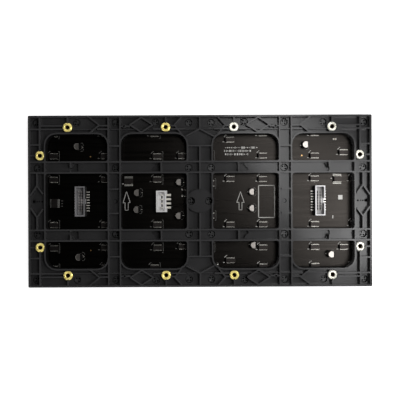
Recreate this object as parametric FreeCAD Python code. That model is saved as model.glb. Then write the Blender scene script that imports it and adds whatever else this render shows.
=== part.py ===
import FreeCAD, Part
import math
import os

from FreeCAD import Vector

# Indoor LED display module, lying on its lamp face with its back up.
# Millimetres. Origin at the middle of the footprint, +X along the long side, +Z out of the back.

# Lamp grid, which sets the outline
LAMP_PITCH = 2.5
LAMP_COLUMNS = 128
LAMP_ROWS = 64
LENGTH = LAMP_COLUMNS * LAMP_PITCH
WIDTH = LAMP_ROWS * LAMP_PITCH
DEPTH = 15.0

# Layers, from the lamp face up
MASK_THICK = 2.0
RIDGE_DEPTH = 0.8
BOARD_THICK = 1.6
BOARD_INSET = 0.3
BOARD_BOTTOM = MASK_THICK
BOARD_TOP = BOARD_BOTTOM + BOARD_THICK
CORNER_R = 1.0

# Moulded frame
WALL = 1.8
RIM = 1.4
RIB = 1.3
WEB_THICK = 1.5
WEB_TOP = 9.9
WEB_BOTTOM = WEB_TOP - WEB_THICK
CHIP_HEIGHT = 1.6
CHIP_CLEARANCE = 0.7
WALL_FOOT = BOARD_TOP + CHIP_HEIGHT + CHIP_CLEARANCE

# Windows: two columns and two rows in each quarter, the middle row shared
WINDOW_INNER_X = (12.2, 73.6)
WINDOW_OUTER_X = (86.0, 143.8)
WINDOW_MIDDLE_Y = 26.0
WINDOW_OUTER_Y = (37.4, 62.7)
WINDOW_EDGE_R = 10.0
WINDOW_BAND_R = 1.6
WINDOW_MIDDLE_R = 2.2

# Ribs of the frame, laid out in the quarter where X and Y are positive
BAND_LOW_Y = WINDOW_MIDDLE_Y + RIM / 2
BAND_HIGH_Y = WINDOW_OUTER_Y[0] - RIM / 2
PANEL_IN_X = WINDOW_INNER_X[1] + RIM / 2
PANEL_OUT_X = WINDOW_OUTER_X[0] - RIM / 2
SIDE_RIM_X = WINDOW_OUTER_X[1] + RIM / 2
MARGIN_Y = 67.2
MARGIN_HIGH_Y = 70.4
SIDE_RIB_X = 149.2
INSIDE_X = LENGTH / 2 - WALL
INSIDE_Y = WIDTH / 2 - WALL
DIAMOND_CENTRE = (54.4, 71.1)
DIAMOND_HALF = (10.8, 6.9)
HALF_DIAMOND_TIP = (93.5, 71.0)
HALF_DIAMOND_REACH = 9.3
CHEVRON_TIP = (23.7, 71.0)

# Threaded inserts for the cabinet's screws
INSERT_END = (123.25, 69.0)
INSERT_MID = (31.75, 69.0)
INSERT_SIDE = (149.0, 42.75)
INSERT_BORE_R = 1.65
INSERT_BODY_R = 2.9
INSERT_FLANGE_R = 4.3
INSERT_FLANGE = 1.0
INSERT_LENGTH = 8.0
INSERT_CLEARANCE = 0.03
FLANGE_CLEARANCE = 0.15
BOSS_R = 5.0

# Case screws at the bottom of round wells, with nuts soldered to the board
SCREW_PLACES = [(10.5, 31.2), (79.2, 31.2), (153.0, 31.2), (10.5, 73.5), (41.7, 74.2),
                (79.2, 73.9), (115.7, 73.8), (153.8, 73.8)]
HUB_SCREW = (8.2, 0.0)
NUT_HEIGHT = 1.6
NUT_HALF = 2.0
WELL_R = 3.7
WELL_WALL = 0.9
WELL_FLOOR = 1.4
WELL_SEAT = BOARD_TOP + NUT_HEIGHT
SCREW_SHANK_R = 0.9
SCREW_HEAD_R = 2.7
SCREW_HEAD = 1.4
SCREW_HOLE_CLEARANCE = 0.25
SCREW_TIP_GAP = 0.5
NUT_BASE = 0.3

# Fin-shaped sinks in the bands, as seen in the quarter where X and Y are positive
SINK_PLACES = [(40.6, 31.7), (117.0, 31.7)]
SINK_OUTLINE = [(-2.6, -3.5), (3.6, -3.5), (4.8, -2.4), (4.6, -1.0), (2.6, 0.2), (1.3, 2.0), (0.8, 3.6),
                (-2.6, 3.6)]
SINK_DEPTH = 2.6
SINK_FLOOR = 1.2
SINK_CUP_WALL = 0.6

# The hub, which two case screws go through, the small sinks and the round marks
HUB_HALF = (13.3, 11.0)
HUB_TOP = 13.4
PANEL_SINK = (79.1, 0.0)
PANEL_SINK_R = 2.1
END_SLOT = (155.8, 0.0)
END_SLOT_HALF = (1.5, 2.1)
SMALL_SINK_DEPTH = 1.1
RING_BOSS = (70.5, 70.0)
RING_BOSS_R = 1.9

# Driver chips: bodies and places on the board
CHIP_BODY = (8.65, 3.9)
CHIP_COLUMNS = {
    "driver_chips_1": [(-139.0, y) for y in (64.4, 43.1, 20.7, -22.4, -44.5, -64.0)],
    "driver_chips_2": [(-90.0, y) for y in (64.2, 43.0, 20.7, -22.4, -44.0, -63.0)],
    "driver_chips_3": [(-43.0, 64.2), (-40.5, 42.6), (-40.5, 20.6), (-40.5, -22.4),
                       (-40.5, -44.3), (-43.3, -63.2)],
    "driver_chips_4": [(28.9, 58.2), (28.9, 20.8), (28.9, -22.5), (28.9, -56.6)],
    "driver_chips_5": [(60.0, y) for y in (64.1, 42.9, 20.65, -22.5, -44.4, -62.5)],
    "driver_chips_6": [(109.3, y) for y in (64.0, 42.8, 21.0, -22.4, -44.2, -62.2)],
    "driver_chips_7": [(136.9, 45.8), (147.0, 20.8), (147.0, -22.0), (136.9, -44.3)],
    "row_chips": [(-16.6, 42.8), (-16.4, -43.3), (8.7, 43.1), (8.7, -44.0), (11.5, -63.3),
                  (9.8, 16.6), (9.8, -14.0), (-10.5, 7.8)],
}
BUFFER_BODY = (8.2, 5.3)
BUFFER_PLACES = {
    "buffer_right": (130.4, 20.5, False),
    "buffer_middle": (-67.8, 19.0, False),
    "buffer_left": (-138.2, -1.7, True),
}
SMALL_PART = (128.2, 58.3)
SMALL_PART_SIZE = (3.2, 1.6, 1.0)

# Electrolytic capacitors
CAPACITOR_R = 3.15
CAPACITOR_BASE = 6.6
CAPACITOR_BASE_THICK = 1.1
CAPACITOR_CUT = 1.3
CAPACITOR_HEIGHT = 7.7
CAPACITOR_PLACES = [(-114.9, 51.6), (-114.0, -52.4), (-58.8, 8.0), (-59.3, -7.9), (-19.3, 17.8),
                    (-19.9, -13.8), (49.2, 8.5), (49.2, -6.9), (99.5, 52.6), (123.3, -50.6),
                    (50.5, -41.7)]

# Data headers, two rows of eight pins
DATA_X = 112.5
DATA_PITCH = 2.54
DATA_PINS = 8
DATA_BODY = (9.2, 28.0, 9.0)
DATA_WALL = 1.0
DATA_FLOOR = 2.4
DATA_NOTCH = 5.0
DATA_NOTCH_SILL = 0.4
DATA_PIN = 0.64
DATA_PIN_TOP = 7.2
DATA_TAIL_REACH = 6.8
TAIL_THICK = 0.5
PIN_CLEARANCE = 0.1

# Power header, one row of four pins
POWER_CENTRE = (-36.1, -0.2)
POWER_PITCH = 3.96
POWER_PINS = 4
POWER_BODY = (9.9, 20.0, 9.2)
POWER_WALL = 1.3
POWER_OPEN_SIDE = 13.4
POWER_SETBACK = 0.9
POWER_SILL = 1.4
POWER_FLOOR = 2.6
POWER_PIN = 1.14
POWER_PIN_TOP = 8.0
POWER_TAIL_WIDE = 1.9
POWER_TAIL_REACH = 8.0


def four_ways(x, y):
    """The same place in all four quarters, each only once where it lies on an axis."""
    return sorted({(sx * x, sy * y) for sx in (1, -1) for sy in (1, -1)})


def block(x0, y0, z0, x1, y1, z1):
    """A block between two corners."""
    low = Vector(min(x0, x1), min(y0, y1), min(z0, z1))
    return Part.makeBox(abs(x1 - x0), abs(y1 - y0), abs(z1 - z0), low)


def post(x, y, z0, z1, radius):
    """An upright round post."""
    return Part.makeCylinder(radius, z1 - z0, Vector(x, y, z0))


def flat_post(x, y, z0, z1, radius, sides, radius_y=None):
    """An upright post with flats, for the small round forms that repeat many times."""
    step = 2 * math.pi / sides
    ry = radius_y or radius
    ring = [(x + radius * math.cos((k + 0.5) * step), y + ry * math.sin((k + 0.5) * step))
            for k in range(sides)]
    return prism(polygon(ring), z0, z1)


def prism(wire, z0, z1):
    """A flat outline raised from one height to another."""
    face = Part.Face(wire)
    face.translate(Vector(0, 0, z0))
    return face.extrude(Vector(0, 0, z1 - z0))


def polygon(points):
    """A closed flat outline through a few corners."""
    corners = [Vector(x, y, 0) for x, y in points]
    return Part.makePolygon(corners + corners[:1])


def round_corner_outline(x0, y0, x1, y1, radii):
    """A rectangle with a radius of its own at each corner, from (x0, y0) round by (x1, y0)."""
    corners = [(x0, y0, 180), (x1, y0, 270), (x1, y1, 0), (x0, y1, 90)]
    points = []
    for (x, y, start), r in zip(corners, radii):
        if r == 0:
            points.append((x, y))
            continue
        mid_angle = math.radians(start + 45)
        cx = x - math.copysign(r, math.cos(mid_angle))
        cy = y - math.copysign(r, math.sin(mid_angle))
        chords = 4 if r > 5 else 2
        for k in range(chords + 1):
            angle = math.radians(start + 90 * k / chords)
            points.append((cx + r * math.cos(angle), cy + r * math.sin(angle)))
    return polygon(points)


def window_outlines(grow=0.0):
    """The twelve window outlines, or with grow the outlines of their rims, square where bands meet them."""
    outlines = []
    edge = WINDOW_EDGE_R + grow
    band, middle = (0, 0) if grow else (WINDOW_BAND_R, WINDOW_MIDDLE_R)
    for near, far in (WINDOW_INNER_X, WINDOW_OUTER_X):
        for side in (1, -1):
            x0, x1 = sorted((side * near, side * far))
            x0, x1 = x0 - grow, x1 + grow
            y_mid = WINDOW_MIDDLE_Y + grow
            outlines.append(round_corner_outline(x0, -y_mid, x1, y_mid, [middle] * 4))
            low, high = WINDOW_OUTER_Y[0] - grow, WINDOW_OUTER_Y[1] + grow
            outlines.append(round_corner_outline(x0, low, x1, high, [band, band, edge, edge]))
            outlines.append(round_corner_outline(x0, -high, x1, -low, [edge, edge, band, band]))
    return outlines


def window_feet():
    """Outlines of the window walls under the web, square and as wide as the rims."""
    feet = []
    for near, far in (WINDOW_INNER_X, WINDOW_OUTER_X):
        for side in (1, -1):
            x0, x1 = sorted((side * near, side * far))
            for y0, y1 in ((-WINDOW_MIDDLE_Y, WINDOW_MIDDLE_Y), WINDOW_OUTER_Y,
                           (-WINDOW_OUTER_Y[1], -WINDOW_OUTER_Y[0])):
                feet.append(polygon([(x0 - RIM, y0 - RIM), (x1 + RIM, y0 - RIM),
                                     (x1 + RIM, y1 + RIM), (x0 - RIM, y1 + RIM)]))
    return feet


def rib(x0, y0, x1, y1, thick=RIB, top=DEPTH):
    """A straight rib on the web, centred on the line between two places."""
    length = math.hypot(x1 - x0, y1 - y0)
    nx, ny = -(y1 - y0) / length * thick / 2, (x1 - x0) / length * thick / 2
    outline = polygon([(x0 + nx, y0 + ny), (x1 + nx, y1 + ny), (x1 - nx, y1 - ny), (x0 - nx, y0 - ny)])
    return prism(outline, WEB_TOP - WEB_THICK / 2, top)


def quarter_ribs():
    """End points of the ribs in one quarter of the frame, grouped by where they stand."""
    cx, cy = DIAMOND_CENTRE
    hx, hy = DIAMOND_HALF
    tip_x, tip_y = HALF_DIAMOND_TIP
    chevron_x, chevron_y = CHEVRON_TIP
    end_x, end_y = INSERT_END
    mid_x, mid_y = INSERT_MID
    side_x, side_y = INSERT_SIDE
    clear = INSERT_FLANGE_R + 0.2
    margin = [
        (13.2, MARGIN_Y, mid_x - clear, MARGIN_Y),
        (mid_x + clear, MARGIN_Y, cx - hx, MARGIN_Y),
        (cx + hx, MARGIN_HIGH_Y - 0.6, PANEL_IN_X, MARGIN_HIGH_Y - 0.6),
        (PANEL_OUT_X, MARGIN_HIGH_Y, tip_x, MARGIN_HIGH_Y),
        (PANEL_OUT_X, MARGIN_Y, tip_x + 2.0, MARGIN_Y),
        (end_x + clear, MARGIN_Y, SIDE_RIB_X, MARGIN_Y),
        (end_x + clear, MARGIN_HIGH_Y, SIDE_RIB_X, MARGIN_HIGH_Y),
        (mid_x, mid_y + clear, mid_x, INSIDE_Y),
        (end_x, end_y + clear, end_x, INSIDE_Y),
    ]
    diamonds = [
        (cx - hx, cy, cx, cy + hy), (cx, cy + hy, cx + hx, cy),
        (cx + hx, cy, cx, cy - hy), (cx, cy - hy, cx - hx, cy),
        (tip_x, tip_y, tip_x + HALF_DIAMOND_REACH, INSIDE_Y),
        (tip_x, tip_y, tip_x + HALF_DIAMOND_REACH, WINDOW_OUTER_Y[1] + RIM / 2),
        (chevron_x, chevron_y, chevron_x - 6.7, INSIDE_Y),
        (chevron_x, chevron_y, chevron_x - 6.4, WINDOW_OUTER_Y[1]),
        (chevron_x, chevron_y - 0.8, mid_x - clear, chevron_y - 0.8),
    ]
    panels = [
        (PANEL_IN_X, BAND_LOW_Y, PANEL_IN_X, INSIDE_Y), (PANEL_OUT_X, BAND_LOW_Y, PANEL_OUT_X, INSIDE_Y),
        (PANEL_IN_X, 51.5, PANEL_OUT_X, 51.5), (PANEL_IN_X + 1.6, 11.3, PANEL_OUT_X, 11.3),
        (36.0, BAND_LOW_Y, 36.0, BAND_HIGH_Y), (120.5, BAND_LOW_Y, 120.5, BAND_HIGH_Y),
        (SIDE_RIM_X, BAND_LOW_Y, SIDE_RIM_X, BAND_HIGH_Y),
    ]
    side = [
        (SIDE_RIB_X, side_y + clear, SIDE_RIB_X, INSIDE_Y), (SIDE_RIB_X, 52.8, INSIDE_X, 52.8),
        (SIDE_RIB_X, MARGIN_Y, INSIDE_X, MARGIN_Y),
        (side_x + clear, side_y, INSIDE_X, side_y), (151.8, 14.6, 151.8, BAND_LOW_Y),
        (151.8, 14.6, 146.3, 7.0), (151.8, 14.6, INSIDE_X, 5.6),
    ]
    centre = [(0.0, MARGIN_Y, 13.2, 60.2), (0.0, 51.5, WINDOW_INNER_X[0], 51.5)]
    return margin + diamonds + panels + side + centre


def all_ribs():
    """Every rib of the frame: the quarters mirrored, and the long ones on the bands and the axis."""
    ribs = []
    for x0, y0, x1, y1 in quarter_ribs():
        for sx in (1, -1):
            for sy in (1, -1):
                ribs.append(rib(sx * x0, sy * y0, sx * x1, sy * y1))
    for side in (1, -1):
        for y in (BAND_LOW_Y, BAND_HIGH_Y):
            ribs.append(rib(-INSIDE_X, side * y, INSIDE_X, side * y, RIM))
        ribs.append(rib(0, side * HUB_HALF[1], 0, side * 51.5))
        ribs.append(rib(0, side * MARGIN_Y, 0, side * INSIDE_Y))
    return ribs


def outer_wall():
    """The wall round the frame, standing on the board's edge."""
    half_x, half_y = LENGTH / 2, WIDTH / 2
    outside = round_corner_outline(-half_x, -half_y, half_x, half_y, [CORNER_R] * 4)
    inside = round_corner_outline(-INSIDE_X, -INSIDE_Y, INSIDE_X, INSIDE_Y, [CORNER_R / 2] * 4)
    return prism(outside, BOARD_TOP, DEPTH).cut(prism(inside, BOARD_TOP - 1, DEPTH + 1))


def web():
    """The thin floor between the ribs."""
    return block(-INSIDE_X - 0.5, -INSIDE_Y - 0.5, WEB_BOTTOM, INSIDE_X + 0.5, INSIDE_Y + 0.5, WEB_TOP)


def insert_places():
    """The twelve insert places."""
    return four_ways(*INSERT_END) + four_ways(*INSERT_MID) + four_ways(*INSERT_SIDE)


def screw_places():
    """The case screws' places in all four quarters."""
    return [place for x, y in SCREW_PLACES + [HUB_SCREW] for place in four_ways(x, y)]


def screw_well(x, y):
    """What is taken out for one case screw: the well and the hole for the shank."""
    return [flat_post(x, y, WELL_SEAT + WELL_FLOOR, DEPTH + 1, WELL_R, 8),
            flat_post(x, y, BOARD_TOP, WELL_SEAT + WELL_FLOOR + 0.5, SCREW_SHANK_R + SCREW_HOLE_CLEARANCE, 4)]


def hub():
    """The raised oval in the middle of the back, a little wider than the panel that carries it."""
    oval = flat_post(0, 0, WALL_FOOT, HUB_TOP, HUB_HALF[0], 16, HUB_HALF[1])
    for x, y in four_ways(*HUB_SCREW):
        oval = oval.cut(Part.makeCompound(screw_well(x, y)))
    return oval


def frame_additions():
    """Everything that stands on the web: wall, rims, ribs, bosses and well tubes."""
    rims = [prism(outline, WEB_TOP - 0.2, DEPTH) for outline in window_outlines(RIM)]
    feet = [prism(outline, WALL_FOOT, WEB_TOP - 0.4) for outline in window_feet()]
    seat = DEPTH - INSERT_FLANGE
    bosses = [flat_post(x, y, WEB_TOP - 0.2, seat, BOSS_R, 8) for x, y in insert_places()]
    boss_half = BOSS_R - 0.1
    bosses += [block(x - boss_half, y - boss_half, BOARD_TOP, x + boss_half, y + boss_half, WEB_TOP - 0.6)
               for x, y in insert_places()]
    tube_half = WELL_R + WELL_WALL
    tubes = [block(x - tube_half, y - tube_half, WELL_SEAT, x + tube_half, y + tube_half, WEB_TOP - 0.2)
             for x, y in screw_places()]
    rings = [flat_post(x, y, WEB_TOP - 0.2, DEPTH - 1.5, RING_BOSS_R, 8) for x, y in four_ways(*RING_BOSS)]
    return [outer_wall()] + rims + feet + all_ribs() + bosses + tubes + rings + sink_cups()


def sink_cups():
    """The cups that hold the sinks' floors under the web."""
    xs, ys = zip(*SINK_OUTLINE)
    low = WEB_TOP - SINK_DEPTH - SINK_FLOOR
    cups = []
    for x, y in SINK_PLACES:
        for sx, sy in four_ways(1, 1):
            cups.append(block(sx * (x + min(xs) - SINK_CUP_WALL), sy * (y + min(ys) - SINK_CUP_WALL), low,
                              sx * (x + max(xs) + SINK_CUP_WALL), sy * (y + max(ys) + SINK_CUP_WALL),
                              WEB_TOP - 0.5))
    return cups


def sink_cuts():
    """The sinks themselves. One that reaches a rib notches it."""
    cuts = []
    for x, y in SINK_PLACES:
        for sx, sy in four_ways(1, 1):
            outline = polygon([(sx * (x + px), sy * (y + py)) for px, py in SINK_OUTLINE])
            cuts.append(prism(outline, WEB_TOP - SINK_DEPTH, DEPTH + 1))
    return cuts


def frame_cuts():
    """Everything taken out of the frame: windows, insert seats, wells, sinks and small holes."""
    cuts = [prism(outline, 0, DEPTH + 1) for outline in window_outlines()]
    for x, y in insert_places():
        cuts.append(flat_post(x, y, DEPTH - INSERT_LENGTH - 0.5, DEPTH, INSERT_BODY_R + INSERT_CLEARANCE, 6))
    for x, y in four_ways(*INSERT_SIDE):
        cuts.append(flat_post(x, y, DEPTH - INSERT_FLANGE, DEPTH + 1, INSERT_FLANGE_R + FLANGE_CLEARANCE, 8))
    for x, y in screw_places():
        cuts += screw_well(x, y)
    cuts += sink_cuts()
    small_floor = WEB_TOP - SMALL_SINK_DEPTH
    cuts += [flat_post(x, y, small_floor, DEPTH, PANEL_SINK_R, 8) for x, y in four_ways(*PANEL_SINK)]
    slot_x, slot_y = END_SLOT_HALF
    cuts += [block(x - slot_x, y - slot_y, small_floor, x + slot_x, y + slot_y, DEPTH)
             for x, y in four_ways(*END_SLOT)]
    cuts += [flat_post(x, y, WEB_TOP, DEPTH, RING_BOSS_R - 0.8, 6) for x, y in four_ways(*RING_BOSS)]
    return cuts


def frame():
    """The moulded frame, one solid."""
    solid = web().multiFuse(frame_additions())
    solid = solid.cut(Part.makeCompound(frame_cuts()))
    return solid.fuse(hub()).removeSplitter()


def lamp_board():
    """The printed board. The lamps on its far side are covered by the mask."""
    half_x, half_y = LENGTH / 2 - BOARD_INSET, WIDTH / 2 - BOARD_INSET
    return block(-half_x, -half_y, BOARD_BOTTOM, half_x, half_y, BOARD_TOP)


def front_mask():
    """The mask in front of the lamps: a plate with a ridge between each two lamp rows."""
    half_y = WIDTH / 2
    profile = [(-half_y, MASK_THICK), (-half_y, 0)]
    for row in range(LAMP_ROWS):
        y = -half_y + row * LAMP_PITCH
        profile += [(y + LAMP_PITCH / 2, RIDGE_DEPTH), (y + LAMP_PITCH, 0)]
    profile.append((half_y, MASK_THICK))
    points = [Vector(-LENGTH / 2, y, z) for y, z in profile]
    face = Part.Face(Part.makePolygon(points + points[:1]))
    return face.extrude(Vector(LENGTH, 0, 0))


def threaded_insert(x, y):
    """A brass insert with a flange on the boss and a bore for the cabinet's screw."""
    low, seat = DEPTH - INSERT_LENGTH, DEPTH - INSERT_FLANGE
    flange = flat_post(x, y, seat, DEPTH, INSERT_FLANGE_R, 8)
    body = flat_post(x, y, low, seat, INSERT_BODY_R, 6).fuse(flange)
    return body.cut(post(x, y, low - 1, DEPTH + 1, INSERT_BORE_R))


def board_nut(x, y):
    """A square threaded nut soldered to the board under a screw well."""
    body = flat_post(x, y, BOARD_TOP, WELL_SEAT, NUT_HALF * math.sqrt(2), 4)
    return body.cut(flat_post(x, y, BOARD_TOP + NUT_BASE, WELL_SEAT + 1, SCREW_SHANK_R, 4))


def case_screw(x, y):
    """A pan-head screw whose head sits on the floor of its well."""
    under_head = WELL_SEAT + WELL_FLOOR
    shank = flat_post(x, y, BOARD_TOP + SCREW_TIP_GAP, under_head, SCREW_SHANK_R, 4)
    return shank.fuse(flat_post(x, y, under_head, under_head + SCREW_HEAD, SCREW_HEAD_R, 6))


def chip(x, y, body, turned=False):
    """A flat chip on the board. Its fine leads are too small for the solids."""
    long_side, short_side = (body[1], body[0]) if turned else body
    return block(x - long_side / 2, y - short_side / 2, BOARD_TOP,
                 x + long_side / 2, y + short_side / 2, BOARD_TOP + CHIP_HEIGHT)


def capacitor(x, y):
    """An upright electrolytic: a square foot with two cut corners, and its can."""
    h, c = CAPACITOR_BASE / 2, CAPACITOR_CUT
    foot = polygon([(-h, -h), (h - c, -h), (h, -h + c), (h, h - c), (h - c, h), (-h, h)])
    low, high = BOARD_TOP + CAPACITOR_BASE_THICK, BOARD_TOP + CAPACITOR_HEIGHT
    shape = prism(foot, BOARD_TOP, low).fuse(flat_post(0, 0, low, high, CAPACITOR_R, 12))
    shape.translate(Vector(x, y, 0))
    return shape


def shroud(centre, body, wall, floor, setback=0.0):
    """An open box for a header's pins. With a setback its +X wall is thicker by that much."""
    x, y = centre
    bx, by, high = body[0] / 2, body[1] / 2, body[2]
    outside = block(x - bx, y - by, BOARD_TOP, x + bx, y + by, BOARD_TOP + high)
    inside = block(x - bx + wall, y - by + wall, BOARD_TOP + floor, x + bx - wall - setback, y + by - wall,
                   DEPTH + 1)
    return outside.cut(inside)


def data_pin_places(x):
    """The sixteen pin places of a data header."""
    rows = [(k - (DATA_PINS - 1) / 2) * DATA_PITCH for k in range(DATA_PINS)]
    return [(x + side * DATA_PITCH / 2, y, side) for y in rows for side in (1, -1)]


def data_housing(x):
    """A data header's shroud, with the key notch on its +X side and a slot for each row of pins."""
    body = shroud((x, 0), DATA_BODY, DATA_WALL, DATA_FLOOR)
    side = x + DATA_BODY[0] / 2
    notch = block(side - DATA_WALL - 0.5, -DATA_NOTCH / 2, BOARD_TOP + DATA_FLOOR + DATA_NOTCH_SILL,
                  side + 1, DATA_NOTCH / 2, DEPTH + 1)
    half = DATA_PIN / 2 + PIN_CLEARANCE
    reach = DATA_PITCH * (DATA_PINS - 1) / 2 + half
    slots = [block(x + k * DATA_PITCH / 2 - half, -reach, BOARD_TOP - 1, x + k * DATA_PITCH / 2 + half, reach,
                   BOARD_TOP + DATA_FLOOR + 1) for k in (-1, 1)]
    tails = [block(x + k * DATA_PITCH / 2, -reach, BOARD_TOP - 1, x + k * DATA_BODY[0], reach,
                   BOARD_TOP + TAIL_THICK + PIN_CLEARANCE) for k in (-1, 1)]
    return body.cut(Part.makeCompound([notch] + slots)).cut(Part.makeCompound(tails))


def data_pins(x):
    """A data header's sixteen square pins, each bent outward to a tail on the board."""
    half = DATA_PIN / 2
    reach = DATA_TAIL_REACH
    pins = []
    for px, y, side in data_pin_places(x):
        upright = block(px - half, y - half, BOARD_TOP, px + half, y + half, BOARD_TOP + DATA_PIN_TOP)
        tail = block(px, y - half, BOARD_TOP, x + side * reach, y + half, BOARD_TOP + TAIL_THICK)
        pins.append(upright.fuse(tail).removeSplitter())
    return Part.makeCompound(pins)


def power_pins():
    """The power header's four pins, each bent to a broad tail on the +X side."""
    x, y_mid = POWER_CENTRE
    half, wide = POWER_PIN / 2, POWER_TAIL_WIDE / 2
    pins = []
    for k in range(POWER_PINS):
        y = y_mid + (k - (POWER_PINS - 1) / 2) * POWER_PITCH
        upright = block(x - half, y - half, BOARD_TOP, x + half, y + half, BOARD_TOP + POWER_PIN_TOP)
        tail = block(x, y - wide, BOARD_TOP, x + POWER_TAIL_REACH, y + wide, BOARD_TOP + TAIL_THICK)
        pins.append(upright.fuse(tail).removeSplitter())
    return Part.makeCompound(pins)


def power_housing():
    """The power header's shroud: low and set back on its +X side, cut out where pins and tails pass."""
    x, y = POWER_CENTRE
    body = shroud(POWER_CENTRE, POWER_BODY, POWER_WALL, POWER_FLOOR, POWER_SETBACK)
    side, open_half = x + POWER_BODY[0] / 2, POWER_OPEN_SIDE / 2
    low_wall = block(side - POWER_WALL - POWER_SETBACK - 0.5, y - open_half, BOARD_TOP + POWER_FLOOR + POWER_SILL,
                     side + 1, y + open_half, DEPTH + 1)
    step = block(side - POWER_SETBACK, y - open_half, BOARD_TOP - 1, side + 1, y + open_half, DEPTH + 1)
    half = POWER_PIN / 2 + PIN_CLEARANCE
    reach = POWER_PITCH * (POWER_PINS - 1) / 2 + POWER_TAIL_WIDE / 2 + PIN_CLEARANCE
    slot = block(x - half, y - reach, BOARD_TOP - 1, x + half, y + reach, BOARD_TOP + POWER_FLOOR + 1)
    tails = block(x, y - reach, BOARD_TOP - 1, x + POWER_BODY[0], y + reach, BOARD_TOP + TAIL_THICK + PIN_CLEARANCE)
    return body.cut(slot).cut(tails).cut(low_wall).cut(step)


def small_part():
    """The small two-ended part in the top right window."""
    x, y = SMALL_PART
    sx, sy, sz = SMALL_PART_SIZE
    return block(x - sx / 2, y - sy / 2, BOARD_TOP, x + sx / 2, y + sy / 2, BOARD_TOP + sz)


def group(make, places):
    """Like pieces kept as separate solids of one node."""
    return Part.makeCompound([make(x, y) for x, y in places])


def all_nodes():
    """Every node's name and shape."""
    nodes = {
        "frame": frame(),
        "lamp_board": lamp_board(),
        "front_mask": front_mask(),
        "inserts_end": group(threaded_insert, four_ways(*INSERT_END)),
        "inserts_middle": group(threaded_insert, four_ways(*INSERT_MID)),
        "inserts_side": group(threaded_insert, four_ways(*INSERT_SIDE)),
        "case_screws": group(case_screw, screw_places()),
        "board_nuts": group(board_nut, screw_places()),
        "power_housing": power_housing(),
        "power_pins": power_pins(),
        "small_part": small_part(),
    }
    for name, x in (("left", -DATA_X), ("right", DATA_X)):
        nodes[f"data_housing_{name}"] = data_housing(x)
        nodes[f"data_pins_{name}"] = data_pins(x)
    for number, (x, y) in enumerate(CAPACITOR_PLACES, 1):
        nodes[f"capacitor_{number}"] = capacitor(x, y)
    for name, places in CHIP_COLUMNS.items():
        nodes[name] = Part.makeCompound([chip(x, y, CHIP_BODY) for x, y in places])
    for name, (x, y, turned) in BUFFER_PLACES.items():
        nodes[name] = chip(x, y, BUFFER_BODY, turned)
    return nodes


os.makedirs("parts", exist_ok=True)
for name, shape in all_nodes().items():
    shape.exportStep(f"parts/{name}.step")
    print(name, len(shape.Solids), "solids", round(shape.Volume), "mm3", "valid" if shape.isValid() else "NOT VALID")
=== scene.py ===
import math
import random

import bpy
from mathutils import Matrix, Vector
from mathutils.geometry import tessellate_polygon


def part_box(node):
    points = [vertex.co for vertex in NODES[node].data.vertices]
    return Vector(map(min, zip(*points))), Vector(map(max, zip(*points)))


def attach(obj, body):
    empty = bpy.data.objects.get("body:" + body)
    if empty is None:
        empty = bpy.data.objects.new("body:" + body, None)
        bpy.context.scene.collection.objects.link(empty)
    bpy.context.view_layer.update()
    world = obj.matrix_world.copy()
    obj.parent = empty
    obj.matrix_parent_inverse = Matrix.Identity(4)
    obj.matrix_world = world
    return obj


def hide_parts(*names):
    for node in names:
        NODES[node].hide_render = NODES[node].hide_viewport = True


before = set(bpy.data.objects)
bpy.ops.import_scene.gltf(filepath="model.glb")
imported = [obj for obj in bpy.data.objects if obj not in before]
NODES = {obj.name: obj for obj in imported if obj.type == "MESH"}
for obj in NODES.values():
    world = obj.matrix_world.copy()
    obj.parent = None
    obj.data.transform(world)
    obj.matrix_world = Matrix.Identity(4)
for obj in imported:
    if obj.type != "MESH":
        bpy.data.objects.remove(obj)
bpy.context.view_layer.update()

MM = 0.001

# Sizes and heights of the solids, in millimetres
LENGTH, WIDTH = 320.0, 160.0
COLUMNS, ROWS, LAMP_PITCH = 128, 64, 2.5
BOARD_TOP = 3.6
WEB_TOP = 9.9
RIM_LEVEL = 14.6
HUB_TOP, HUB_HALF_X, HUB_HALF_Y = 13.4, 13.4, 11.1
HUB_WELL_X, HUB_WELL_Y = (4.2, 12.2), 4.0
WINDOW_COLUMNS = ((12.0, 73.8), (85.8, 144.0))
WINDOW_ROWS = ((-1.0, 26.2), (37.2, 62.9))
MARGIN_Y = 67.2
HEADER_X = 112.5

# The studio's lights stand on the right, so what lies past these places shows more glare. By these
# places some parts get painted glare, painted highlights, painted shade and painted shadows
LIT_X, BRIGHT_X = 20.0, 100.0


# Mesh building

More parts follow.
